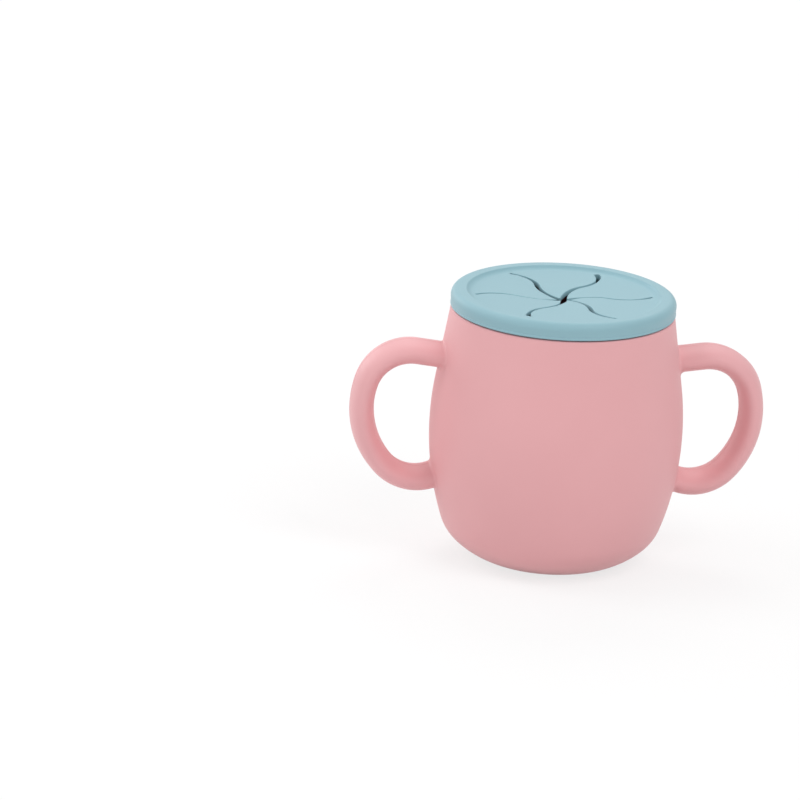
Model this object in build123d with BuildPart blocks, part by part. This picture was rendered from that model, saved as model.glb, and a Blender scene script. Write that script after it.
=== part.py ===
from build123d import *
import math
import os

# Toddler training cup: a soft cup with two loop handles and a push-on snack lid
# whose middle is cut into six flaps. Millimetres, +Z up, +X along the handles,
# origin in the middle of the face that the cup stands on.

# Cup outline, from the standing face upwards: three arcs, then a straight neck
base_radius = 20.0
base_edge_heading = 13.0
foot_arc_radius = 27.0
foot_angle = 31.1
corner_arc_radius = 14.3
corner_angle = 27.2
belly_arc_radius = 99.35
belly_angle = 28.25
shoulder_height = 84.5
neck_radius = 36.3
cup_wall = 2.6

# Rim that stands up from the shoulder inside the lid's channel
rim_thickness = 2.3
rim_height = 3.4
rim_root_depth = 4.0
rim_edge_radius = 0.6

# Handles: an oval strap swept along a line, three arcs and a line
handle_thickness = 7.8
handle_depth = 16.0
handle_root_radius = 32.0
handle_top_height = 67.4
handle_top_heading = 7.7
handle_top_length = 15.2
handle_shoulder_arc_radius = 14.7
handle_shoulder_angle = 81.1
handle_side_arc_radius = 29.2
handle_side_angle = 58.7
handle_lower_arc_radius = 15.0
handle_lower_angle = 74.0
handle_root_length = 4.0
handle_root_fillet = 1.6

# Lid: skirt, channel, plug ring and raised edge round a dished panel
lid_overhang_width = 0.5
skirt_thickness = 1.9
skirt_gap = 0.3
lid_clearance = 0.3
roof_thickness = 2.4
lid_edge_radius = 2.6
crest_flat_width = 1.8
crest_radius = 0.6
panel_fillet = 1.1
panel_drop_height = 1.0
panel_fall_height = 0.9
tip_fall_height = 1.1
tip_radius = 10.0
panel_thickness = 1.8
plug_thickness = 1.8
plug_depth = 5.5

# Slits and flaps in the panel
flap_count = 6
slit_inner_radius = 15.9
slit_inner_turn = 57.0
slit_outer_radius = 12.5
slit_outer_turn = 66.0
slit_width = 1.5
bend_radius = 1.6
bend_gap = 0.3
bend_end_length = 0.6
cut_margin_height = 1.0

# Sizes that follow from the ones above
rim_top = shoulder_height + rim_height
lid_radius = neck_radius + lid_overhang_width
channel_radius = lid_radius - skirt_thickness
rim_outer_radius = channel_radius - lid_clearance
rim_inner_radius = rim_outer_radius - rim_thickness
plug_outer_radius = rim_inner_radius - lid_clearance
plug_inner_radius = plug_outer_radius - plug_thickness
lid_top = rim_top + roof_thickness
crest_turn = math.degrees(math.acos(1 - panel_drop_height / (crest_radius + panel_fillet)))
crest_run = (crest_radius + panel_fillet) * math.sin(math.radians(crest_turn))
crest_distance = lid_radius - lid_edge_radius - crest_flat_width
panel_radius = crest_distance - crest_run
panel_edge_height = lid_top - panel_drop_height
tip_edge_height = panel_edge_height - panel_fall_height
panel_centre_height = tip_edge_height - tip_fall_height
flap_angle = 360 / flap_count
slit_inner_chord = 2 * slit_inner_radius * math.sin(math.radians(slit_inner_turn / 2))
slit_outer_chord = 2 * slit_outer_radius * math.sin(math.radians(slit_outer_turn / 2))
slit_chord_turn = math.radians(slit_outer_turn - slit_inner_turn) / 2
slit_along = slit_inner_chord + slit_outer_chord * math.cos(slit_chord_turn)
slit_across = slit_outer_chord * math.sin(slit_chord_turn)
slit_reach = math.hypot(slit_along, slit_across)
slit_start_turn = slit_inner_turn / 2 - math.degrees(math.atan2(slit_across, slit_along))
hinge_length = 2 * slit_reach * math.sin(math.radians(flap_angle / 2))
hinge_distance = slit_reach * math.cos(math.radians(flap_angle / 2))


def panel_height(radius):
    """Height of the panel's upper face, on its outer slope, at a distance from the axis."""
    return tip_edge_height + panel_fall_height * (radius - tip_radius) / (panel_radius - tip_radius)


hinge_height = panel_height(hinge_distance) - panel_thickness / 2


def heading(degrees):
    """Unit direction in the sketch plane at an angle from its first axis."""
    return (math.cos(math.radians(degrees)), math.sin(math.radians(degrees)))


def cup_arcs(inset):
    """Draw the cup's foot, corner and belly arcs, moved inwards by inset.

    Returns the first and the last arc, for the lines that close the outline.
    """
    across, up = heading(base_edge_heading)
    start = (base_radius - inset * up, inset * across)
    foot = JernArc(start, heading(base_edge_heading), foot_arc_radius - inset, foot_angle)
    corner = JernArc(foot @ 1, foot % 1, corner_arc_radius - inset, corner_angle)
    belly = JernArc(corner @ 1, corner % 1, belly_arc_radius - inset, belly_angle)
    return foot, belly


# Outer form of the cup, as a solid without its cavity
with BuildPart() as cup_form:
    with BuildSketch(Plane.YZ):
        with BuildLine():
            foot, belly = cup_arcs(0)
            neck_line = Line(belly @ 1, (neck_radius, shoulder_height))
            Polyline(neck_line @ 1, (0, shoulder_height), (0, 0), foot @ 0)
        make_face()
    revolve(axis=Axis.Z)

# Cavity: the same arcs one wall further in, then the bore of the rim
with BuildPart() as cavity:
    with BuildSketch(Plane.YZ):
        with BuildLine():
            foot, belly = cup_arcs(cup_wall)
            floor_height = (foot @ 0).Y
            rim_root = (rim_inner_radius, shoulder_height - rim_root_depth)
            Line(belly @ 1, rim_root)
            Polyline(rim_root, (rim_inner_radius, rim_top), (0, rim_top), (0, floor_height), foot @ 0)
        make_face()
    revolve(axis=Axis.Z)

with BuildPart() as cup_body:
    add(cup_form.part)
    with BuildSketch(Plane.XY.offset(shoulder_height)):
        Circle(rim_outer_radius)
    extrude(amount=rim_height)
    add(cavity.part, mode=Mode.SUBTRACT)
    rim_edges = cup_body.edges().filter_by(GeomType.CIRCLE).group_by(Axis.Z)[-1]
    fillet(rim_edges, rim_edge_radius)
cup_body.part.label = "cup_body"

# One loop handle: an oval strap swept along its line, from root to root
with BuildPart() as strap:
    with BuildLine(Plane.XZ) as strap_line:
        top_run = PolarLine((handle_root_radius, handle_top_height), handle_top_length, handle_top_heading)
        shoulder_arc = JernArc(
            top_run @ 1, top_run % 1, handle_shoulder_arc_radius, -handle_shoulder_angle
        )
        side_arc = JernArc(
            shoulder_arc @ 1, shoulder_arc % 1, handle_side_arc_radius, -handle_side_angle
        )
        lower_arc = JernArc(
            side_arc @ 1, side_arc % 1, handle_lower_arc_radius, -handle_lower_angle
        )
        PolarLine(lower_arc @ 1, handle_root_length, direction=lower_arc % 1)
    strap_section = Plane(strap_line.line @ 0, x_dir=(0, 1, 0), z_dir=strap_line.line % 0)
    with BuildSketch(strap_section):
        Ellipse(handle_depth / 2, handle_thickness / 2)
    sweep(path=strap_line.line)

# The strap joins the cup's form with rounded roots, and what lies outside the
# cup's own surface is the handle
with BuildPart() as handle_form:
    add(cup_form.part)
    add(strap.part)
    root_edges = new_edges(cup_form.part, strap.part, combined=handle_form.part)
    fillet(root_edges, handle_root_fillet)

with BuildPart() as right_handle:
    add(handle_form.part)
    add(cup_form.part, mode=Mode.SUBTRACT)
right_handle.part.label = "right_handle"

with BuildPart() as left_handle:
    add(right_handle.part)
    mirror(about=Plane.YZ, mode=Mode.REPLACE)
left_handle.part.label = "left_handle"

# Lid as one solid disc: skirt, channel for the rim, plug ring and dished panel
with BuildPart() as lid_form:
    with BuildSketch(Plane.YZ):
        with BuildLine():
            skirt_foot = shoulder_height + skirt_gap
            plug_foot = rim_top - plug_depth
            plug_top = panel_height(plug_inner_radius) - panel_thickness
            outer_wall = Polyline(
                (plug_inner_radius, plug_top),
                (plug_inner_radius, plug_foot),
                (plug_outer_radius, plug_foot),
                (plug_outer_radius, rim_top),
                (channel_radius, rim_top),
                (channel_radius, skirt_foot),
                (lid_radius, skirt_foot),
                (lid_radius, lid_top - lid_edge_radius),
            )
            edge_arc = JernArc(outer_wall @ 1, (0, 1), lid_edge_radius, 90)
            crest_start = Line(edge_arc @ 1, (crest_distance, lid_top)) @ 1
            crest_arc = JernArc(crest_start, (-1, 0), crest_radius, crest_turn)
            panel_arc = JernArc(crest_arc @ 1, crest_arc % 1, panel_fillet, -crest_turn)
            Polyline(
                panel_arc @ 1,
                (tip_radius, tip_edge_height),
                (0, panel_centre_height),
                (0, panel_centre_height - panel_thickness),
                (tip_radius, tip_edge_height - panel_thickness),
                (plug_inner_radius, plug_top),
            )
        make_face()
    revolve(axis=Axis.Z)

# Everything that cuts the panel runs from below the plug's foot to above the crest
cut_base = Plane.XY.offset(plug_foot - cut_margin_height)
cut_height = lid_top - plug_foot + 2 * cut_margin_height


def slit_line(turn_to):
    """Draw one slit's centre line: two tangent arcs in an S, from the middle outwards."""
    start = heading(turn_to + slit_start_turn)
    inner = JernArc((0, 0), start, slit_inner_radius, -slit_inner_turn)
    outer = JernArc(inner @ 1, inner % 1, slit_outer_radius, slit_outer_turn)
    return inner, outer


with BuildPart() as slits:
    with BuildSketch(cut_base):
        for count in range(flap_count):
            with BuildLine() as centre_line:
                inner, outer = slit_line(count * flap_angle)
            SlotArc(inner, slit_width)
            SlotArc(outer, slit_width)
    extrude(amount=cut_height)


def bend_plane(count):
    """Plane whose Z axis is the bend line of a flap, with its origin at mid-length."""
    middle = (count + 0.5) * flap_angle
    across, along = heading(middle)
    origin = (hinge_distance * across, hinge_distance * along, hinge_height)
    return Plane(origin, x_dir=(across, along, 0), z_dir=(-along, across, 0))


def sector(count):
    """Prism of one flap, between two slits' centre lines and the bend line."""
    with BuildPart() as prism:
        with BuildSketch(cut_base):
            with BuildLine():
                first = slit_line(count * flap_angle)
                second = slit_line((count + 1) * flap_angle)
                Line(first[1] @ 1, second[1] @ 1)
            make_face()
        extrude(amount=cut_height)
    return prism.part


def bend_root(count, radius, length):
    """Half-round bar on the outer side of one flap's bend line.

    It rounds the flap's root and, a gap larger, the seat for it in the lid.
    """
    with BuildPart() as bar:
        with BuildSketch(bend_plane(count).offset(-length / 2)):
            with BuildLine():
                arc = CenterArc((0, 0), radius, -90, 180)
                Line(arc @ 1, arc @ 0)
            make_face()
        extrude(amount=length)
    return bar.part


# Six flaps, each with a rounded root so that it can bend up or down
flaps = []
for count in range(flap_count):
    with BuildPart() as flap:
        add(sector(count))
        add(bend_root(count, bend_radius, hinge_length - 2 * bend_end_length))
        add(lid_form.part, mode=Mode.INTERSECT)
        add(slits.part, mode=Mode.SUBTRACT)
    flap.part.label = f"lid_flap_{count + 1}"
    flaps.append(flap.part)

# The rest of the lid, with a rounded seat along each bend line
with BuildPart() as lid:
    add(lid_form.part)
    for count in range(flap_count):
        add(sector(count), mode=Mode.SUBTRACT)
        add(bend_root(count, bend_radius + bend_gap, hinge_length), mode=Mode.SUBTRACT)
    add(slits.part, mode=Mode.SUBTRACT)
lid.part.label = "lid"

os.makedirs("parts", exist_ok=True)
for piece in [cup_body.part, left_handle.part, right_handle.part, lid.part, *flaps]:
    export_step(piece, f"parts/{piece.label}.step")
    print(f"{piece.label}: {piece.volume:.1f} mm3, {len(piece.solids())} solid")
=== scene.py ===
"""Toddler training cup: soft skins, finishes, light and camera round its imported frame.

The cup, its two loop handles, the push-on snack lid and the lid's six flaps are
surfaces worked out on grids. Sizes are in millimetres in the classes, and every mesh
is written in metres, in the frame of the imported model.
"""

import logging
import math
from dataclasses import dataclass, field
from enum import Enum

import bpy
import numpy as np
from mathutils import Matrix

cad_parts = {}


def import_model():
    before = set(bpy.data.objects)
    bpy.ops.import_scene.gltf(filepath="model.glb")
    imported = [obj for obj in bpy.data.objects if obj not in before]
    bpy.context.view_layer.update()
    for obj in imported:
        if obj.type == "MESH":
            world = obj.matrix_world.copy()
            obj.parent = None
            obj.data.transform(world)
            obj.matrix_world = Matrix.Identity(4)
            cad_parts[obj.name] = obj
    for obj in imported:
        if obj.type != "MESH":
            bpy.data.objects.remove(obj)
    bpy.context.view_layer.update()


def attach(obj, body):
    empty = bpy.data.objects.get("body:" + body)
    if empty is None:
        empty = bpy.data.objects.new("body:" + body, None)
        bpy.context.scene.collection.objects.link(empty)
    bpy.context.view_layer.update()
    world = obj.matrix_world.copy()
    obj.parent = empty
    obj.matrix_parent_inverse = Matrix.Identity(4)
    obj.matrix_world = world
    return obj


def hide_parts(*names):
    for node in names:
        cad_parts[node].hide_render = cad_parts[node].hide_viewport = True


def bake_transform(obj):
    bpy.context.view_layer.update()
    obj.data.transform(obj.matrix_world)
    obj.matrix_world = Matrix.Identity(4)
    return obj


LOG = logging.getLogger("training_cup")

MM = 0.001
SHARP_ANGLE = math.radians(42)
NEARLY_STRAIGHT = math.radians(89.5)
CORNER_POINTS = 7
FEWEST_ON_RUN = 2
FEWEST_ON_ARC = 8
FLAP_COUNT = 6
FLAP_ANGLE = 360 / FLAP_COUNT


class Side(Enum):
    """Which side of the cup a handle is on, as the sign of its X."""

    RIGHT = 1
    LEFT = -1


# Shapes on grids


def directions(degrees: np.ndarray) -> np.ndarray:
    """Unit directions at these angles: the cosine across and the sine up."""
    turned = np.radians(degrees)
    return np.stack([np.cos(turned), np.sin(turned)], axis=-1)


def arc_points(centre: np.ndarray, radius: float, degrees: np.ndarray) -> np.ndarray:
    """Points on a circle: the centre plus the radius times each direction."""
    return centre + radius * directions(degrees)


def spun(x: np.ndarray, y: np.ndarray, degrees: float) -> tuple[np.ndarray, np.ndarray]:
    """X and Y turned about the axis: x cos - y sin, and x sin + y cos."""
    cosine, sine = directions(np.array(degrees))
    return x * cosine - y * sine, x * sine + y * cosine


def unit(vectors: np.ndarray) -> np.ndarray:
    """Each vector over its own length."""
    return vectors / np.linalg.norm(vectors, axis=-1, keepdims=True)


def reaches(line: np.ndarray) -> np.ndarray:
    """How far along a line each of its points is: the sum of the gaps before it."""
    return np.concatenate([[0], np.cumsum(np.linalg.norm(np.diff(line, axis=0), axis=1))])


@dataclass(frozen=True)
class Run:
    """One piece of a smooth line: a straight run, or an arc that turns by some degrees."""

    length: float = 0.0
    radius: float = 0.0
    turn: float = 0.0

    def trace(self, start: np.ndarray, heading: float, step: float) -> tuple[np.ndarray, float]:
        """Points along the run.

        On an arc the centre lies one radius to the side that the line turns to, and a
        point stands one radius from it, at a right angle to the heading there.

        Args:
            start: where the run begins.
            heading: its direction at the start, in degrees.
            step: the distance between points, about.

        Returns:
            The points after the start, and the heading at the end.
        """
        if self.turn == 0:
            count = max(FEWEST_ON_RUN, round(self.length / step))
            along = np.linspace(0, self.length, count + 1)[1:, None]
            return start + along * directions(np.array(heading)), heading
        side = math.copysign(90, self.turn)
        centre = start + self.radius * directions(np.array(heading + side))
        reach = abs(math.radians(self.turn)) * self.radius
        count = max(FEWEST_ON_ARC, round(reach / step))
        headings = heading + np.linspace(0, self.turn, count + 1)[1:]
        return arc_points(centre, self.radius, headings - side), heading + self.turn


def smooth_line(
    start: tuple[float, float], heading: float, runs: list[Run], step: float
) -> np.ndarray:
    """Join runs end to end, each one tangent to the last.

    Args:
        start: the first point.
        heading: the direction there, in degrees.
        runs: the runs in order.
        step: the distance between points, about.

    Returns:
        All points of the line, the first included.
    """
    points = [np.array([start], float)]
    for run in runs:
        traced, heading = run.trace(points[-1][-1], heading, step)
        points.append(traced)
    return np.concatenate(points)


def rounded(corners: list[tuple[float, float, float]], spacing: float = 1.2) -> np.ndarray:
    """A line through corners, with each corner rounded by its own radius.

    The arc at a corner touches both sides at the radius over the tangent of half the
    angle between them, and its points run from one touch to the other about a centre
    on the line that halves that angle.

    Args:
        corners: distance across, height and radius of each corner.
        spacing: the longest distance between points on the straight runs.

    Returns:
        The points of the rounded line.
    """
    pins = np.array(corners, float)
    points = [pins[:1, :2]]
    for before, (x, z, radius), after in zip(pins[:-2, :2], pins[1:-1], pins[2:, :2]):
        corner = np.array([x, z])
        back, ahead = unit(before - corner), unit(after - corner)
        half = math.acos(float(np.clip(back @ ahead, -1, 1))) / 2
        if radius == 0 or half > NEARLY_STRAIGHT:
            points.append(corner[None])
            continue
        reach = radius / math.tan(half)
        centre = corner + unit(back + ahead) * radius / math.sin(half)
        share = np.linspace(0, 1, CORNER_POINTS)[:, None]
        chord = (corner + back * reach) * (1 - share) + (corner + ahead * reach) * share - centre
        points.append(centre + radius * unit(chord))
    points.append(pins[-1:, :2])
    return refined(np.concatenate(points), spacing)


def refined(line: np.ndarray, spacing: float) -> np.ndarray:
    """Add points evenly on a line's long gaps, each a share of the way between two.

    Args:
        line: the points.
        spacing: the longest gap that stays.

    Returns:
        The line's own points and the new ones, in order.
    """
    gaps = np.linalg.norm(np.diff(line, axis=0), axis=1)
    cuts = np.maximum(1, np.ceil(gaps / spacing)).astype(int)
    index = np.concatenate([np.arange(len(cuts)).repeat(cuts), [len(cuts)]])
    first = np.concatenate([[0], np.cumsum(cuts)[:-1]]).repeat(cuts)
    share = np.concatenate([(np.arange(cuts.sum()) - first) / cuts.repeat(cuts), [0]])
    ahead = np.minimum(index + 1, len(line) - 1)
    return line[index] * (1 - share[:, None]) + line[ahead] * share[:, None]


def smoothstep(value: np.ndarray) -> np.ndarray:
    """Three times the square less twice the cube, of a value held from 0 to 1."""
    held = np.clip(value, 0, 1)
    return held * held * (3 - 2 * held)


def crowded(count: int, share: float) -> np.ndarray:
    """Numbers from -1 to 1 that crowd round 0: a share of each, plus the rest of its cube."""
    even = np.linspace(-1, 1, count)
    return share * even + (1 - share) * even**3


@dataclass
class GridSkin:
    """A closed surface on a grid of points, given as rows of points.

    rows has the shape (rows, points in a row, 3). Each row is a closed loop. The first
    and last rows are closed by a fan to their own pole, or joined to each other where
    there are no poles.
    """

    name: str
    rows: np.ndarray
    poles: tuple[np.ndarray, np.ndarray] | None = None

    def faces(self) -> tuple[np.ndarray, np.ndarray]:
        """Corner indices of the quads between rows, and of the triangles at the poles.

        A quad takes point i and its neighbour in one row, and the same two in the next.

        Returns:
            The quads, and the triangles, of which there are none without poles.
        """
        rows, count = self.rows.shape[:2]
        index = np.arange(rows * count).reshape(rows, count)
        here, there = (index[:-1], index[1:]) if self.poles else (index, np.roll(index, -1, axis=0))
        quads = np.stack([here, np.roll(here, -1, 1), np.roll(there, -1, 1), there], -1)
        quads = quads.reshape(-1, 4)
        if not self.poles:
            return quads, np.zeros((0, 3), int)
        first, last = index[0], index[-1]
        foot = np.stack([np.roll(first, -1), first, np.full(count, index.size)], -1)
        head = np.stack([last, np.roll(last, -1), np.full(count, index.size + 1)], -1)
        return quads, np.concatenate([foot, head])

    def build(self) -> bpy.types.Object:
        """Write the mesh, with its faces outwards, and link it to the scene.

        The faces point outwards when the volume under them is positive: a sixth of the
        triple product of the corners, summed over all triangles.

        Returns:
            The new object, at the origin.
        """
        points = self.rows.reshape(-1, 3)
        if self.poles:
            points = np.concatenate([points, np.array(self.poles, float)])
        quads, triangles = self.faces()
        halves = np.concatenate([quads[:, [0, 1, 2]], quads[:, [0, 2, 3]], triangles])
        a, b, c = (points[halves[:, k]] for k in range(3))
        if np.einsum("ij,ij->i", a, np.cross(b, c)).sum() < 0:
            quads, triangles = quads[:, ::-1], triangles[:, ::-1]
        mesh = bpy.data.meshes.new(self.name)
        mesh.vertices.add(len(points))
        mesh.vertices.foreach_set("co", (points * MM).astype(np.float32).ravel())
        corners = np.concatenate([quads.ravel(), triangles.ravel()]).astype(np.int32)
        sizes = np.concatenate([np.full(len(quads), 4), np.full(len(triangles), 3)])
        mesh.loops.add(len(corners))
        mesh.loops.foreach_set("vertex_index", corners)
        mesh.polygons.add(len(sizes))
        starts = np.concatenate([[0], np.cumsum(sizes)[:-1]]).astype(np.int32)
        mesh.polygons.foreach_set("loop_start", starts)
        mesh.update(calc_edges=True)
        mesh.validate()
        mesh.polygons.foreach_set("use_smooth", np.ones(len(mesh.polygons), bool))
        mesh.set_sharp_from_angle(angle=SHARP_ANGLE)
        made = bpy.data.objects.new(self.name, mesh)
        bpy.context.scene.collection.objects.link(made)
        return made


def turned_rows(profile: np.ndarray, degrees: np.ndarray) -> np.ndarray:
    """Carry a profile round the axis: across and up become X, Y and Z at each angle.

    Args:
        profile: points as distance from the axis and height, one row for all angles or
            one row for each.
        degrees: the angles.

    Returns:
        A grid with one loop round the axis for each point of the profile.
    """
    across = np.broadcast_to(profile[..., 0], (len(degrees), profile.shape[-2]))
    height = np.broadcast_to(profile[..., 1], across.shape)
    round_axis = directions(degrees)[:, None]
    grid = np.concatenate([across[..., None] * round_axis, height[..., None]], axis=-1)
    return grid.transpose(1, 0, 2)


# The cup


@dataclass
class CupForm:
    """The soft cup: a round belly on a small foot, a narrow neck and a rim inside the lid."""

    base_radius: float = 20.0
    base_heading: float = 13.0
    runs: list[Run] = field(
        default_factory=lambda: [
            Run(radius=27.0, turn=31.1),
            Run(radius=14.3, turn=27.2),
            Run(radius=99.35, turn=28.25),
        ]
    )
    shoulder_height: float = 84.4
    neck_radius: float = 36.55
    wall: float = 2.6
    rim_outer: float = 34.6
    rim_inner: float = 32.3
    rim_top: float = 87.9
    rim_root_depth: float = 4.0
    rim_root_round: float = 1.0
    rim_foot_round: float = 0.2
    rim_round: float = 0.6
    shoulder_round: float = 0.6
    base_round: float = 3.0
    foot_join: int = 2
    around: int = 288
    step: float = 0.9

    def side(self, inset: float) -> np.ndarray:
        """The outline from the foot to the top of the belly, moved inwards.

        Each arc keeps its centre and gets a radius smaller by the inset.

        Args:
            inset: how far inside the outer surface.

        Returns:
            Distance from the axis and height of each point.
        """
        across, up = directions(np.array(self.base_heading))
        start = (self.base_radius - inset * up, inset * across)
        inner = [Run(radius=run.radius - inset, turn=run.turn) for run in self.runs]
        return smooth_line(start, self.base_heading, inner, self.step)

    def outside(self) -> np.ndarray:
        """The outline from the middle of the base, up the side and over the rim to the cavity.

        The foot's corner is rounded between the base and the side's point at the join.

        Returns:
            Distance from the axis and height of each point.
        """
        side, join = self.side(0), self.foot_join
        foot = rounded(
            [(0, 0, 0), (self.base_radius, 0, self.base_round), (*side[join], 0)], self.step
        )
        neck = rounded(
            [
                (*side[-1], 0),
                (self.neck_radius, self.shoulder_height, self.shoulder_round),
                (self.rim_outer, self.shoulder_height, self.rim_foot_round),
                (self.rim_outer, self.rim_top, self.rim_round),
                (self.rim_inner, self.rim_top, self.rim_round),
                (
                    self.rim_inner,
                    self.shoulder_height - self.rim_root_depth,
                    self.rim_root_round,
                ),
                (*self.side(self.wall)[-1], 0),
            ],
            self.step,
        )
        return np.concatenate([foot, side[join + 1 : -1], neck])

    def radius_at(self, height: np.ndarray) -> np.ndarray:
        """The cup's outer radius at these heights, read between the outline's points."""
        side = np.concatenate([self.side(0), [[self.neck_radius, self.shoulder_height]]])
        return np.interp(height, side[:, 1], side[:, 0])

    def build(self) -> bpy.types.Object:
        """The whole shell: its outline, then the cavity's downwards, carried round the axis.

        Returns:
            The new object.
        """
        cavity = self.side(self.wall)[::-1]
        profile = np.concatenate([self.outside()[1:], cavity[1:]])
        rows = turned_rows(profile, np.linspace(0, 360, self.around, endpoint=False))
        poles = (np.zeros(3), np.array([0, 0, cavity[-1, 1]]))
        return GridSkin("cup_skin", rows, poles).build()


# The handles


@dataclass
class LoopHandle:
    """A loop handle: an oval strap along a smooth line, whose roots flare into the cup.

    The three near values are the small steps over which directions and slopes are taken.
    """

    cup: CupForm
    side: Side
    depth: float = 16.0
    thickness: float = 7.8
    start: tuple[float, float] = (32.0, 67.4)
    heading: float = 7.7
    runs: list[Run] = field(
        default_factory=lambda: [
            Run(length=15.2),
            Run(radius=14.7, turn=-81.1),
            Run(radius=29.2, turn=-58.7),
            Run(radius=15.0, turn=-74.0),
            Run(length=4.0),
        ]
    )
    root_round: float = 1.9
    root_crease: float = 0.9
    seam_height: float = 0.13
    seam_width: float = 0.16
    around: int = 112
    crowding: float = 0.42
    along: int = 200
    root_rows: int = 12
    root_sink: float = 0.04
    root_depth: float = 0.9
    line_step: float = 0.1
    samples: int = 1500
    near: float = 0.05
    near_angle: float = 0.01
    near_height: float = 0.1

    def __post_init__(self) -> None:
        """Trace the strap's line once, finely, with its length and headings."""
        self.line = smooth_line(self.start, self.heading, self.runs, self.line_step)
        self.reach = reaches(self.line)
        slope = np.gradient(self.line, self.reach, axis=0)
        self.headings = np.unwrap(np.arctan2(slope[:, 1], slope[:, 0]))

    def strap(self, reach: np.ndarray, angle: np.ndarray) -> np.ndarray:
        """Points on the strap's surface.

        Half the depth times the sine of the angle goes along Y, and half the thickness
        times its cosine goes square to the line. The mould's seam adds a small bell
        shaped ridge to the thickness where the strap crosses the middle plane.

        Args:
            reach: distance along the strap's line.
            angle: angle round the strap, 0 on the outer side.

        Returns:
            Points with X away from the axis.
        """
        x = np.interp(reach, self.reach, self.line[:, 0])
        z = np.interp(reach, self.reach, self.line[:, 1])
        heading = np.interp(reach, self.reach, self.headings)
        across = self.depth / 2 * np.sin(angle)
        seam = self.seam_height * np.exp(-((across / self.seam_width) ** 2))
        square = (self.thickness / 2 + seam) * np.cos(angle)
        parts = (x - square * np.sin(heading), across, z + square * np.cos(heading))
        return np.stack(np.broadcast_arrays(*parts), -1)

    def outside_cup(self, points: np.ndarray) -> np.ndarray:
        """Distance of points from the cup's surface, level, and negative inside."""
        return np.hypot(points[..., 0], points[..., 1]) - self.cup.radius_at(points[..., 2])

    def onto_cup(self, points: np.ndarray, sink: float) -> np.ndarray:
        """Move points level, towards or from the axis, on to the cup.

        Each is scaled by the cup's radius at its height, less the sink, over its own
        distance from the axis.

        Args:
            points: the points to move.
            sink: how far under the cup's surface they end.

        Returns:
            The moved points.
        """
        level = np.hypot(points[..., 0], points[..., 1])
        scale = (self.cup.radius_at(points[..., 2]) - sink) / level
        return points * np.stack([scale, scale, np.ones_like(scale)], -1)

    def crossings(self, angle: np.ndarray) -> tuple[np.ndarray, np.ndarray]:
        """Where each line along the strap leaves the cup, and where it comes back.

        The distance from the cup is worked out on a fine grid. It is negative inside, so
        the first and last points outside mark the crossings, and a straight line between
        the two samples there gives each one's place.

        Args:
            angle: angles round the strap.

        Returns:
            Distance along the strap at both crossings, one for each angle.
        """
        reach = np.linspace(0, self.reach[-1], self.samples)
        gap = self.outside_cup(self.strap(reach[:, None], angle[None]))
        column = np.arange(len(angle))
        leave = np.argmax(gap > 0, axis=0)
        back = len(reach) - 1 - np.argmax(gap[::-1] > 0, axis=0)

        def place(low: np.ndarray, high: np.ndarray) -> np.ndarray:
            """The reach at which the gap is nought between two neighbouring samples."""
            share = gap[low, column] / (gap[low, column] - gap[high, column])
            return reach[low] + share * (reach[high] - reach[low])

        return place(leave - 1, leave), place(back + 1, back)

    def flare(
        self, cross: np.ndarray, inwards: int, angle: np.ndarray
    ) -> tuple[np.ndarray, np.ndarray]:
        """Rounded rows from the cup's surface up to the strap.

        Each line along the strap is bent over to the cup: a curve of second order whose
        middle point is the crossing, and whose ends are one reach away along the strap
        and along the cup. The reach is the root's radius over the tangent of half the
        angle between the two, and the radius grows from the loop's outer side to the
        side of its hole.

        Args:
            cross: distance along the strap at the crossing, for each angle.
            inwards: 1 where the strap leaves the cup, -1 where it comes back.
            angle: angles round the strap.

        Returns:
            The rows, from the cup to the strap, and where each line joins the strap.
        """
        corner = self.strap(cross, angle)
        along = unit(self.strap(cross + inwards * self.near, angle) - corner)
        turn = self.near_angle
        beside = self.strap(cross, angle + turn) - self.strap(cross, angle - turn)
        outwards = np.cross(along, beside) * inwards
        outwards *= np.sign((outwards * (corner - corner.mean(0))).sum(1, keepdims=True))
        rise = self.near_height
        above, below = (self.cup.radius_at(corner[:, 2] + step) for step in (rise, -rise))
        level = unit(corner[:, :2])
        normal = unit(np.column_stack([level, -(above - below) / (2 * rise)]))
        away = unit(outwards - normal * (outwards * normal).sum(1, keepdims=True))
        opening = np.arccos(np.clip((along * away).sum(1), -1, 1))
        inner = (1 - np.cos(angle)) / 2
        radius = self.root_crease + (self.root_round - self.root_crease) * inner
        reach = radius / np.tan(opening / 2)
        foot = self.onto_cup(corner + away * reach[:, None], self.root_sink)
        joint = cross + inwards * reach
        head = self.strap(joint, angle)
        share = np.linspace(0, 1, self.root_rows)[:, None, None]
        rows = (1 - share) ** 2 * foot + 2 * share * (1 - share) * corner + share**2 * head
        sunk = self.onto_cup(foot, self.root_depth)
        return np.concatenate([sunk[None], rows]), joint

    def build(self) -> bpy.types.Object:
        """The handle from its upper root round to its lower one, closed inside the wall.

        The angles round the strap crowd towards the seam: each is an even one less a
        share of the sine of its double.

        Returns:
            The new object.
        """
        even = np.linspace(0, 2 * math.pi, self.around, endpoint=False)
        angle = even - self.crowding * np.sin(2 * even)
        leave, back = self.crossings(angle)
        upper, start = self.flare(leave, 1, angle)
        lower, end = self.flare(back, -1, angle)
        share = np.linspace(0, 1, self.along)[1:-1, None]
        strap = self.strap(start * (1 - share) + end * share, angle[None])
        rows = np.concatenate([upper, strap, lower[::-1]])
        mirror = np.array([self.side.value, 1, 1])
        poles = tuple(self.onto_cup(rows[k].mean(0), self.root_depth) * mirror for k in (0, -1))
        return GridSkin(f"{self.side.name.lower()}_handle_skin", rows * mirror, poles).build()


# The lid


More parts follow.
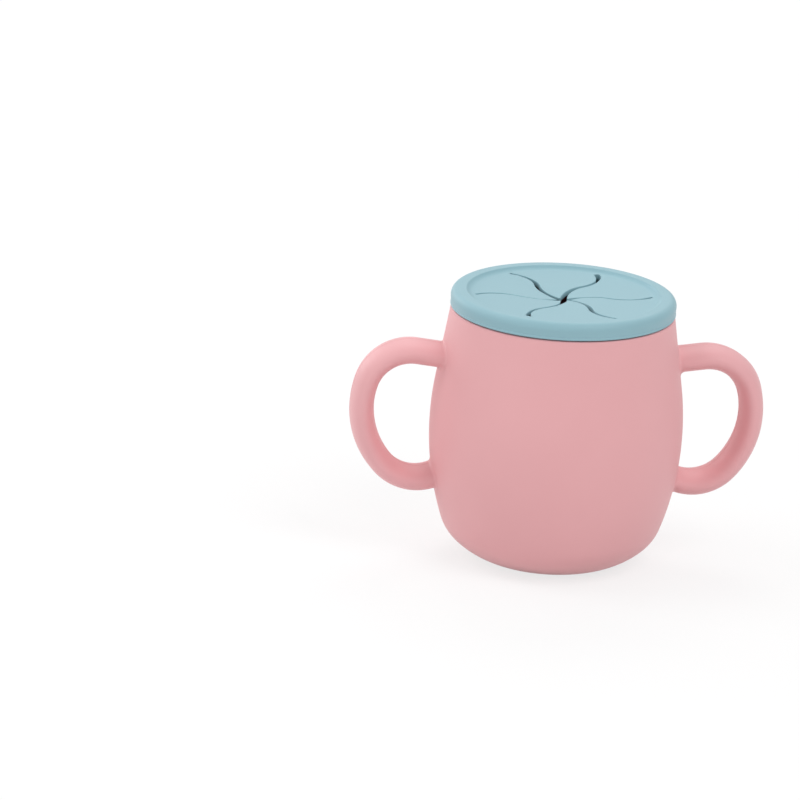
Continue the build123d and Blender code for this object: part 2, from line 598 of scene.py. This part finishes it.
@dataclass
class SlitPattern:
    """Six slits in an S shape from the middle of the panel.

    The rubber stands more open at some places than at others, so each slit has its own
    widths at the stations, which are shares of its length. All have the same width in
    the middle, and each is wider at its end than twice the lead of the flaps' bend.
    """

    inner: Run = Run(radius=15.9, turn=-57.0)
    outer: Run = Run(radius=12.5, turn=66.0)
    stations: tuple[float, ...] = (0.07, 0.25, 0.5, 0.78, 0.97)
    widths: tuple[tuple[float, ...], ...] = (
        (2.0, 0.9, 0.8, 0.7, 1.1),
        (2.0, 1.6, 1.1, 0.9, 1.8),
        (2.0, 1.5, 1.8, 1.1, 0.8),
        (2.0, 0.7, 0.7, 0.9, 0.8),
        (2.0, 1.0, 0.9, 1.0, 1.7),
        (2.0, 1.4, 1.5, 1.1, 0.8),
    )
    step: float = 0.05

    def __post_init__(self) -> None:
        """Trace one slit from the axis, then turn it so that its end lies at angle 0.

        A slit's width is that at its first station plus, for each stretch to the next
        station, the change along it times a smooth step from 0 to 1 over the stretch.
        """
        line = smooth_line((0, 0), 0, [self.inner, self.outer], self.step)
        run = reaches(line)
        stations, widths = np.array(self.stations)[:, None], np.array(self.widths)
        steps = smoothstep((run / run[-1] - stations[:-1]) / np.diff(stations, axis=0))
        self.half = (widths[:, :1] + np.diff(widths) @ steps) / 2
        self.reach = float(np.hypot(*line[-1]))
        back = -math.degrees(math.atan2(line[-1, 1], line[-1, 0]))
        self.line = np.stack(spun(*line.T, back), -1)

    def turned(self, degrees: float) -> np.ndarray:
        """The slit's centre line with its end at this angle."""
        return np.stack(spun(*self.line.T, degrees), -1)

    def hinge_distance(self) -> float:
        """Distance from the axis to the line that joins two slits' ends."""
        return self.reach * math.cos(math.radians(FLAP_ANGLE / 2))

    def edge(self, number: int, degrees: float, x: np.ndarray, side: int) -> np.ndarray:
        """One side of the slot, as Y for each X.

        The slot is the path of a disc along the centre line, as wide as the slit is
        there. Over each X the disc's edge is its centre's Y plus or minus the root of
        the radius squared less the distance in X squared, and the side is the furthest
        of these.

        Args:
            number: which slit, counted from the one that ends on +X.
            degrees: the angle of the slit's end, from the flap's middle line.
            x: distances along the flap.
            side: 1 for the upper side of the slot, -1 for the lower.

        Returns:
            Y at each X.
        """
        line = self.turned(degrees)
        rest = self.half[number] ** 2 - (x[:, None] - line[None, :, 0]) ** 2
        height = side * line[None, :, 1] + np.sqrt(np.maximum(rest, 0))
        return side * np.where(rest >= 0, height, -np.inf).max(1)

    def reach_along(self, degrees: np.ndarray) -> np.ndarray:
        """The furthest that the slots reach from the axis along rays at these angles.

        A ray leaves a disc at the centre's length along the ray plus the root of the
        radius squared less the centre's distance from the ray squared.

        Args:
            degrees: the rays' angles.

        Returns:
            One distance for each ray.
        """
        wrapped = (degrees + FLAP_ANGLE / 2) % FLAP_ANGLE - FLAP_ANGLE / 2
        nearest = np.round(degrees / FLAP_ANGLE).astype(int) % FLAP_COUNT
        ray = directions(wrapped)
        along = ray @ self.line.T
        off = ray[:, :1] * self.line[None, :, 1] - ray[:, 1:] * self.line[None, :, 0]
        rest = self.half[nearest] ** 2 - off**2
        return np.where(rest >= 0, along + np.sqrt(np.maximum(rest, 0)), 0).max(1)


@dataclass
class SnackLid:
    """The push-on lid: a rounded skirt and crest, a plug inside the cup, and a dished panel."""

    slits: SlitPattern
    radius: float = 36.8
    skirt_foot: float = 84.8
    channel_radius: float = 34.9
    channel_top: float = 87.9
    channel_round: float = 0.3
    plug_outer: float = 32.0
    plug_inner: float = 30.2
    plug_foot: float = 82.4
    plug_round: float = 0.5
    plug_root_round: float = 0.4
    top: float = 90.3
    skirt_lean: float = 4.0
    skirt_round: float = 0.35
    lip: float = 0.2
    lip_height: float = 0.6
    lip_slope: float = 0.25
    edge_round: float = 2.4
    crest_flat: float = 2.4
    crest_round: float = 0.6
    panel_fillet: float = 2.6
    panel_drop: float = 1.2
    panel_fall: float = 0.7
    tip_radius: float = 10.0
    tip_fall: float = 1.1
    tip_reach: float = 13.0
    tip_power: float = 1.5
    panel: float = 1.8
    under_fall: float = 0.02
    bend_lead: float = 0.3
    bend_run: float = 3.0
    step: float = 0.35
    sector_columns: int = 65
    crowding: float = 0.1
    inner_rows: int = 6
    foot_margin: float = 1.2
    slit_margin: float = 0.15

    def __post_init__(self) -> None:
        """Work out where the crest turns into the panel."""
        both = self.crest_round + self.panel_fillet
        self.crest_turn = math.degrees(math.acos(1 - self.panel_drop / both))
        crest = self.radius - self.edge_round - self.crest_flat
        self.panel_radius = crest - both * math.sin(math.radians(self.crest_turn))
        self.root_distance = self.slits.hinge_distance() + self.bend_lead

    def panel_height(self, radius: np.ndarray) -> np.ndarray:
        """Height of the panel's top: a slope inwards, which bends down softly near the middle.

        The slope is a straight line of the radius. Within the tips' reach it also falls
        by the tip fall times a power of the share of the way to the axis. Beyond the
        panel's edge it rises on the arc of the fillet under the crest.

        Args:
            radius: distances from the axis.

        Returns:
            One height for each.
        """
        edge = self.top - self.panel_drop
        slope = self.panel_fall / (self.panel_radius - self.tip_radius)
        held = np.clip(radius, self.tip_radius, self.panel_radius)
        straight = edge - slope * (self.panel_radius - held)
        near = np.clip(1 - radius / self.tip_reach, 0, 1)
        past = np.clip(radius - self.panel_radius, 0, self.panel_fillet)
        rise = self.panel_fillet - np.sqrt(self.panel_fillet**2 - past**2)
        return straight - self.tip_fall * near**self.tip_power + rise

    def inner_edge(self, degrees: np.ndarray) -> np.ndarray:
        """Distance from the axis to the ring's inner edge.

        It is the longer of two: to the straight lines where the flaps begin, and to the
        end of a slit.

        Args:
            degrees: angles round the axis.

        Returns:
            One distance for each.
        """
        off = (degrees % FLAP_ANGLE) - FLAP_ANGLE / 2
        lines = self.root_distance / np.cos(np.radians(off))
        return np.maximum(lines, self.slits.reach_along(degrees))

    def outline(self) -> np.ndarray:
        """The part of the profile that is the same all round, from panel to plug and back.

        The skirt leans in towards its foot, so the rounded edge above it turns a little
        more than a quarter. A fine lip stands out at the foot.

        Returns:
            Distance from the axis and height of each point.
        """
        lean, up = directions(np.array(90 - self.skirt_lean))
        rise = self.top - self.edge_round * (1 + lean) - self.skirt_foot
        foot = self.radius - self.edge_round * (1 - up) - rise * lean / up
        crest = smooth_line(
            (foot + self.foot_margin * lean / up, self.skirt_foot + self.foot_margin),
            90 - self.skirt_lean,
            [
                Run(length=(rise - self.foot_margin) / up),
                Run(radius=self.edge_round, turn=90 + self.skirt_lean),
                Run(length=self.crest_flat),
                Run(radius=self.crest_round, turn=self.crest_turn),
                Run(radius=self.panel_fillet, turn=-self.crest_turn),
            ],
            self.step,
        )[::-1]
        inside = self.slits.reach + float(self.slits.half.max()) + self.slit_margin
        crest = crest[crest[:, 0] > inside + self.slit_margin]
        under = float(self.panel_height(np.array(self.plug_inner))) - self.panel
        below = rounded(
            [
                (*crest[-1], 0),
                (foot, self.skirt_foot + self.lip_height + self.lip_slope, self.skirt_round),
                (foot + self.lip, self.skirt_foot + self.lip_height, self.skirt_round),
                (foot + self.lip, self.skirt_foot, self.skirt_round),
                (self.channel_radius, self.skirt_foot, self.channel_round),
                (self.channel_radius, self.channel_top, self.channel_round),
                (self.plug_outer, self.channel_top, self.channel_round),
                (self.plug_outer, self.plug_foot, self.plug_round),
                (self.plug_inner, self.plug_foot, self.plug_round),
                (self.plug_inner, under, self.plug_root_round),
                (inside, under - self.under_fall, 0),
            ]
        )
        top = [[inside, float(self.panel_height(np.array(inside)))]]
        return np.concatenate([top, crest, below[1:-1]])

    def build(self) -> bpy.types.Object:
        """The ring: its profile carried round, its innermost rows drawn to the slits and flaps.

        Between the inner edge and the even part, rows share out the distance evenly, on
        the panel's top going out and on its underside coming back.

        Returns:
            The new object.
        """
        turn = (crowded(self.sector_columns, self.crowding) * FLAP_ANGLE / 2)[:-1]
        degrees = (np.arange(FLAP_COUNT)[:, None] * FLAP_ANGLE + turn[None]).ravel()
        outline = self.outline()
        inner = self.inner_edge(degrees)
        share = np.linspace(0, 1, self.inner_rows)[None, :-1]
        top = inner[:, None] * (1 - share) + outline[0, 0] * share
        under = (inner[:, None] * (1 - share) + outline[-1, 0] * share)[:, ::-1]
        even = np.broadcast_to(outline, (len(degrees), *outline.shape))
        profile = np.concatenate(
            [
                np.stack([top, self.panel_height(top)], -1),
                even,
                np.stack([under, self.panel_height(under) - self.panel], -1),
            ],
            axis=1,
        )
        return GridSkin("lid_skin", turned_rows(profile, degrees)).build()


@dataclass
class PanelFlap:
    """One flap of the panel, between two slits, with the points where it would bend along the line
    of its root.

    most_round is the largest share of the flap's width or depth that a rounded edge takes.
    """

    lid: SnackLid
    number: int
    lift: float
    edge_round: float = 0.22
    most_round: float = 0.46
    tip_width: float = 0.5
    samples: int = 4000
    rows: int = 90
    even_share: float = 0.35
    across: int = 26
    corner: int = 5

    def middle(self) -> float:
        """The angle of the flap's middle, in degrees."""
        return (self.number - 0.5) * FLAP_ANGLE

    def edges(self, x: np.ndarray) -> tuple[np.ndarray, np.ndarray]:
        """The flap's edges: the near sides of the slits beside it.

        Args:
            x: distances along the flap.

        Returns:
            Y of the lower and of the upper edge at each X.
        """
        slits, half = self.lid.slits, FLAP_ANGLE / 2
        low = slits.edge(self.number - 1, -half, x, 1)
        return low, slits.edge(self.number % FLAP_COUNT, half, x, -1)

    def section(self, width: np.ndarray, lean: np.ndarray) -> tuple[np.ndarray, np.ndarray]:
        """A flat bar with rounded edges for each row, as a loop of places and depths.

        The corners are quarter circles of the edge radius, held to a share of the width
        and of the panel. Across the row they are stretched by the lean of the flap's
        edge, so that they stay round square to it. Half of the loop runs over the top
        and down the right edge, and the other half is the same turned upside down.

        Args:
            width: the row's width.
            lean: how much longer the edge is than its step along the flap.

        Returns:
            Place across the row and depth below the top, each of shape (rows, loop).
        """
        panel = self.lid.panel
        quarter = directions(np.linspace(90, 0, self.corner))
        out = np.concatenate([quarter[1:, 0], quarter[-2:0:-1, 0]])
        turn = 1 - quarter[:, 1]
        radius = np.minimum(self.edge_round * lean, self.most_round * width)[:, None]
        depth = min(self.edge_round, self.most_round * panel)
        width = width[:, None]
        flat = radius + (width - 2 * radius) * np.linspace(0, 1, self.across)
        across = np.concatenate([flat, width - radius + radius * out], axis=1)
        top = np.zeros(self.across)
        drop = np.concatenate([top, depth * turn[1:], panel - depth * turn[-2:0:-1]])
        loop = np.concatenate([across, width - across], axis=1)
        return loop, np.broadcast_to(np.concatenate([drop, panel - drop]), loop.shape)

    def build(self) -> bpy.types.Object:
        """The flap, from its tip to its root line.

        Rows run across the flap from one slit's edge to the next. They begin where the
        flap has its tip's width, and stand closer near both ends. The height is the
        panel's own, plus a lift that grows as the square of the way to the axis.

        Returns:
            The new object.
        """
        root = self.lid.root_distance
        fine = np.linspace(2 * self.lid.slits.half.max(), root, self.samples)
        low, high = self.edges(fine)
        tip = fine[np.argmax(high - low > self.tip_width)]
        even = np.linspace(0, 1, self.rows)
        x = tip + (root - tip) * (self.even_share * even + (1 - self.even_share) * smoothstep(even))
        low, high = self.edges(x)
        slopes = np.maximum(np.abs(np.gradient(low, x)), np.abs(np.gradient(high, x)))
        across, drop = self.section(high - low, np.hypot(1, slopes))
        y = low[:, None] + across
        radius = np.hypot(x[:, None], y)
        way = (1 - x / root)[:, None]
        height = self.lid.panel_height(radius) - drop + self.lift * way**2
        rows = np.stack([*spun(x[:, None], y, self.middle()), height], -1)
        poles = (rows[0].mean(0), rows[-1].mean(0))
        return GridSkin(f"flap_skin_{self.number}", rows, poles).build()

    def bend_points(self) -> tuple[tuple[float, ...], tuple[float, ...]]:
        """Where the bend begins and ends, on the flap's middle line.

        Returns:
            Both points, in metres.
        """
        across = directions(np.array(self.middle())) * MM
        height = float(self.lid.panel_height(np.array(self.lid.root_distance))) * MM
        ends = (self.lid.root_distance, self.lid.slits.hinge_distance() - self.lid.bend_run)
        return tuple((*(across * end).tolist(), height) for end in ends)


# Finishes

# A Mix node's two colour inputs and its colour output, by number
MIX_FIRST, MIX_SECOND, MIX_RESULT = 6, 7, 2


class Signal:
    """A socket that takes part in plain expressions: each operation adds its Math node."""

    def __init__(self, sheet: "Sheet", socket: bpy.types.NodeSocket) -> None:
        """Keep the sheet of nodes and the socket."""
        self.sheet = sheet
        self.socket = socket

    def math(self, operation: str, first: "Signal | float", second: "Signal | float") -> "Signal":
        """Add one Math node on two values or signals."""
        return self.sheet.add("ShaderNodeMath", {"operation": operation}, {0: first, 1: second})

    def __add__(self, other: "Signal | float") -> "Signal":
        """The sum of both."""
        return self.math("ADD", self, other)

    def __sub__(self, other: "Signal | float") -> "Signal":
        """This less the other."""
        return self.math("SUBTRACT", self, other)

    def __rsub__(self, other: float) -> "Signal":
        """The other less this."""
        return self.math("SUBTRACT", other, self)

    def __mul__(self, other: "Signal | float") -> "Signal":
        """The product of both."""
        return self.math("MULTIPLY", self, other)

    __radd__ = __add__
    __rmul__ = __mul__

    def below(self, level: float) -> "Signal":
        """One where this is below a level, and nought elsewhere."""
        return self.math("LESS_THAN", self, level)

    def either(self, other: "Signal") -> "Signal":
        """The greater of both."""
        return self.math("MAXIMUM", self, other)


class Sheet:
    """The nodes of one material, or of the world."""

    def __init__(self, owner: bpy.types.Material | bpy.types.World) -> None:
        """Give the owner an empty sheet of nodes.

        Args:
            owner: the material or world that the nodes are for.
        """
        self.owner = owner
        owner.use_nodes = True
        self.tree = owner.node_tree
        self.tree.nodes.clear()

    def node(self, kind: str, settings: dict, inputs: dict[int | str, object]) -> bpy.types.Node:
        """Add a node.

        Args:
            kind: the node's type.
            settings: its own settings, which are set first.
            inputs: a value or a signal for each named or numbered socket.

        Returns:
            The node.
        """
        node = self.tree.nodes.new(kind)
        for key, value in settings.items():
            setattr(node, key, value)
        for key, value in inputs.items():
            if isinstance(value, Signal):
                self.tree.links.new(value.socket, node.inputs[key])
            else:
                node.inputs[key].default_value = value
        return node

    def add(self, kind: str, settings: dict, inputs: dict, output: int | str = 0) -> Signal:
        """Add a node and hand back one of its outputs as a signal."""
        return Signal(self, self.node(kind, settings, inputs).outputs[output])

    def noise(self, place: Signal, size: float, detail: float) -> Signal:
        """Soft noise with features of about this size in millimetres, from 0 to 1."""
        inputs = {"Vector": place, "Scale": 1 / (size * MM), "Detail": detail}
        return self.add("ShaderNodeTexNoise", {}, inputs, "Fac")

    def mix(self, share: Signal, first: object, second: object) -> Signal:
        """A colour between two others."""
        inputs = {"Factor": share, MIX_FIRST: first, MIX_SECOND: second}
        return self.add("ShaderNodeMix", {"data_type": "RGBA"}, inputs, MIX_RESULT)

    def finish(self, surface: Signal) -> bpy.types.Material | bpy.types.World:
        """Put the surface on the owner's output and hand over the owner."""
        self.node(f"ShaderNodeOutput{type(self.owner).__name__}", {}, {"Surface": surface})
        return self.owner


@dataclass(frozen=True)
class SiliconeFinish:
    """Soft matt silicone rubber: a fine moulded grain, faint clouds and a little lint.

    Sizes are in millimetres. The roughnesses of clouds and grain are how much each moves
    the whole roughness.
    """

    name: str
    colour: tuple[float, float, float]
    shade: tuple[float, float, float]
    roughness: float = 0.52
    cloud: float = 14.0
    cloud_detail: float = 3.0
    cloud_roughness: float = 0.06
    grain: float = 0.35
    grain_detail: float = 2.0
    grain_roughness: float = 0.10
    grain_height: float = 0.1
    bump: float = 0.10
    lint_cell: float = 5.0
    lint_size: float = 0.16
    lint_share: float = 0.12
    lint_cover: float = 0.35
    lint_paleness: float = 0.3
    sheen: float = 0.12
    sheen_roughness: float = 0.5
    refraction: float = 1.41

    def material(self) -> bpy.types.Material:
        """Build the nodes.

        The pigment moves between the shade and the colour with the clouds, and lint makes
        small pale dots in a few cells. The clouds and the grain move the roughness about
        its middle, and the grain feeds the bump.

        Returns:
            The material.
        """
        sheet = Sheet(bpy.data.materials.new(self.name))
        place = sheet.add("ShaderNodeTexCoord", {}, {}, "Object")
        clouds = sheet.noise(place, self.cloud, self.cloud_detail)
        grain = sheet.noise(place, self.grain, self.grain_detail)
        cell = {"Vector": place, "Scale": 1 / (self.lint_cell * MM)}
        distance = sheet.add("ShaderNodeTexVoronoi", {}, cell, "Distance")
        pick = sheet.add("ShaderNodeTexVoronoi", {}, cell, "Color")
        chosen = sheet.add("ShaderNodeSeparateColor", {}, {0: pick}).below(self.lint_share)
        lint = distance.below(self.lint_size / self.lint_cell) * chosen
        pigment = sheet.mix(clouds, (*self.shade, 1), (*self.colour, 1))
        pale = (part + (1 - part) * self.lint_paleness for part in self.colour)
        bump = {"Strength": self.bump, "Distance": self.grain_height * MM, "Height": grain}
        surface = {
            "Base Color": sheet.mix(lint * self.lint_cover, pigment, (*pale, 1)),
            "Roughness": self.roughness
            + self.cloud_roughness * (clouds - 0.5)
            + self.grain_roughness * (grain - 0.5),
            "Normal": sheet.add("ShaderNodeBump", {}, bump),
            "IOR": self.refraction,
            "Sheen Weight": self.sheen,
            "Sheen Roughness": self.sheen_roughness,
        }
        return sheet.finish(sheet.add("ShaderNodeBsdfPrincipled", {}, surface))


@dataclass(frozen=True)
class StudioFloor:
    """A matt white floor that the camera sees paler than it lights, with the cup's shadow kept."""

    name: str = "studio_floor"
    albedo: float = 0.80
    glow: float = 1.04
    veil: float = 0.72
    half_width: float = 4000.0

    def material(self) -> bpy.types.Material:
        """Mix a white glow over the matt floor for camera, mirror and glass rays alone.

        Returns:
            The material.
        """
        sheet = Sheet(bpy.data.materials.new(self.name))
        camera, mirror, glass = (
            sheet.add("ShaderNodeLightPath", {}, {}, kind)
            for kind in ("Is Camera Ray", "Is Glossy Ray", "Is Transmission Ray")
        )
        share = camera.either(mirror).either(glass) * self.veil
        matt = sheet.add("ShaderNodeBsdfDiffuse", {}, {"Color": (*[self.albedo] * 3, 1)})
        glow = sheet.add("ShaderNodeEmission", {}, {"Strength": self.glow})
        return sheet.finish(sheet.add("ShaderNodeMixShader", {}, {0: share, 1: matt, 2: glow}))

    def build(self) -> bpy.types.Object:
        """Four corners far from the cup, at the height that it stands on.

        Returns:
            The new object, marked as stage.
        """
        far = self.half_width * MM
        mesh = bpy.data.meshes.new(self.name)
        corners = [(-far, -far, 0), (far, -far, 0), (far, far, 0), (-far, far, 0)]
        mesh.from_pydata(corners, [], [(0, 1, 2, 3)])
        mesh.materials.append(self.material())
        floor = bpy.data.objects.new(self.name, mesh)
        bpy.context.scene.collection.objects.link(floor)
        return floor


# The studio


@dataclass(frozen=True)
class SoftLamp:
    """A square soft box that faces the cup.

    azimuth is counted from +X and elevation from the floor, in degrees. The size and the
    distance are in metres, and the power in watts.
    """

    name: str
    azimuth: float
    elevation: float
    power: float
    size: float = 1.2
    distance: float = 2.5

    def build(self, aim: np.ndarray) -> None:
        """Hang the lamp one distance from the aim, and turn it to face the aim.

        Args:
            aim: the point that it lights, in metres.
        """
        light = bpy.data.lights.new(self.name, "AREA")
        light.size, light.energy = self.size, self.power
        lamp = bpy.data.objects.new(self.name, light)
        across, up = directions(np.array(self.elevation))
        away = np.array([*(across * directions(np.array(self.azimuth))), up])
        lamp.matrix_world = looking(aim + self.distance * away, -away, np.array([0, 0, 1.0]))
        bpy.context.scene.collection.objects.link(lamp)


def looking(place: np.ndarray, ahead: np.ndarray, up: np.ndarray) -> Matrix:
    """A place and a turn whose -Z looks ahead and whose Y is as near up as it can be.

    Args:
        place: where it stands.
        ahead: the direction that it looks in.
        up: roughly upwards.

    Returns:
        The matrix of both.
    """
    back = unit(-ahead)
    right = unit(np.cross(up, back))
    turned = np.eye(4)
    turned[:3, :3] = np.stack([right, np.cross(back, right), back], -1)
    turned[:3, 3] = place
    return Matrix(turned.tolist())


@dataclass(frozen=True)
class Studio:
    """World light, soft boxes and the camera.

    Lengths are in millimetres, the nearest and furthest distances that the camera sees
    in metres, and angles in degrees.
    """

    world_strength: float = 0.584
    azimuth: float = 6.5
    elevation: float = 17.484
    roll: float = 2.991
    distance: float = 1640.562
    target_height: float = 44.31
    aim_right: float = -51.112
    aim_up: float = 8.702
    focal_pixels: float = 5000.0
    image_pixels: float = 800.0
    sensor: float = 36.0
    nearest: float = 0.05
    furthest: float = 50.0
    lamps: tuple[SoftLamp, ...] = (
        SoftLamp("front_right_box", -53.0, 50.0, 19.0),
        SoftLamp("left_box", 172.0, 50.0, 13.2),
        SoftLamp("back_box", 82.0, 50.0, 13.1),
        SoftLamp("low_back_box", 127.0, 15.0, 12.7),
        SoftLamp("low_left_box", -143.0, 15.0, 5.6),
    )

    def light(self) -> None:
        """A white world, plain for the camera, and the soft boxes."""
        scene = bpy.context.scene
        scene.view_settings.view_transform = "Standard"
        sheet = Sheet(bpy.data.worlds.new("studio_world"))
        seen = sheet.add("ShaderNodeLightPath", {}, {}, "Is Camera Ray")
        levels = {"Value": seen, "To Min": self.world_strength, "To Max": 1.0}
        strength = sheet.add("ShaderNodeMapRange", {}, levels)
        paint = {"Color": (1, 1, 1, 1), "Strength": strength}
        scene.world = sheet.finish(sheet.add("ShaderNodeBackground", {}, paint))
        for lamp in self.lamps:
            lamp.build(np.array([0, 0, self.target_height * MM]))

    def camera(self) -> bpy.types.Object:
        """Place the camera.

        It looks down by the elevation, from the front turned by the azimuth, and rolls
        about its own axis. It stands the distance back from the target, moved square to
        its view so that the cup sits off the middle of the picture.

        Returns:
            The camera's object, set as the scene's camera.
        """
        turn, down, roll = (math.radians(v) for v in (-self.azimuth, self.elevation, self.roll))
        right = np.array([math.cos(turn), math.sin(turn), 0])
        level = np.array([-math.sin(turn), math.cos(turn), 0])
        ahead = math.cos(down) * level - math.sin(down) * np.array([0, 0, 1.0])
        up = np.cross(right, ahead)
        right, up = (
            math.cos(roll) * right + math.sin(roll) * up,
            math.cos(roll) * up - math.sin(roll) * right,
        )
        target = np.array([0, 0, self.target_height])
        place = target - ahead * self.distance + right * self.aim_right + up * self.aim_up
        data = bpy.data.cameras.new("photo_camera")
        data.sensor_width = self.sensor
        data.lens = self.focal_pixels / self.image_pixels * self.sensor
        data.clip_start, data.clip_end = self.nearest, self.furthest
        camera = bpy.data.objects.new("photo_camera", data)
        camera.matrix_world = looking(place * MM, ahead, up)
        bpy.context.scene.collection.objects.link(camera)
        bpy.context.scene.camera = camera
        return camera


# Putting it together


def dress(piece: bpy.types.Object, material: bpy.types.Material, node: str) -> None:
    """Give a piece its finish and say which CAD node it stands for.

    Args:
        piece: the piece.
        material: its finish.
        node: the CAD node.
    """
    piece.data.materials.append(material)
    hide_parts(node)
    LOG.info("%s stands for %s: %d faces", piece.name, node, len(piece.data.polygons))


@dataclass(frozen=True)
class PinkMoulding:
    """The cup and its two handles, which ride together."""

    finish: SiliconeFinish = SiliconeFinish(
        "cup_silicone", colour=(0.789, 0.407, 0.424), shade=(0.768, 0.387, 0.404)
    )

    def build(self) -> None:
        """Build and dress the body, then a handle on each side."""
        pink, form = self.finish.material(), CupForm()
        body = form.build()
        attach(body, "cup")
        dress(body, pink, "cup_body")
        for side in Side:
            handle = LoopHandle(form, side).build()
            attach(handle, "cup")
            dress(handle, pink, f"{side.name.lower()}_handle")


@dataclass(frozen=True)
class BlueMoulding:
    """The lid's ring and its six flaps; the two points of each flap's bend at its root are worked
    out but not used.

    The flaps don't all lie equally deep. The lifts say how far each would stand above
    the even dish of the panel if it reached the axis.
    """

    finish: SiliconeFinish = SiliconeFinish(
        "lid_silicone", colour=(0.272, 0.462, 0.523), shade=(0.261, 0.450, 0.511)
    )
    lifts: tuple[float, ...] = (0.0, 0.0, 0.15, 0.4, 0.7, 0.25)

    def build(self) -> None:
        """Build and dress the ring, then the flaps."""
        blue, lid = self.finish.material(), SnackLid(SlitPattern())
        ring = lid.build()
        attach(ring, "lid")
        dress(ring, blue, "lid")
        for number, lift in enumerate(self.lifts, start=1):
            flap = PanelFlap(lid, number, lift)
            skin = flap.build()
            start, end = flap.bend_points()
            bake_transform(skin)
            dress(skin, blue, f"lid_flap_{number}")


def main() -> None:
    """Load the frame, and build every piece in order."""
    logging.basicConfig(level=logging.INFO, format="%(name)s: %(message)s")
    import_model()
    studio = Studio()
    studio.camera()
    for part in (PinkMoulding(), BlueMoulding(), StudioFloor()):
        part.build()
    studio.light()


if __name__ == "__main__":
    main()
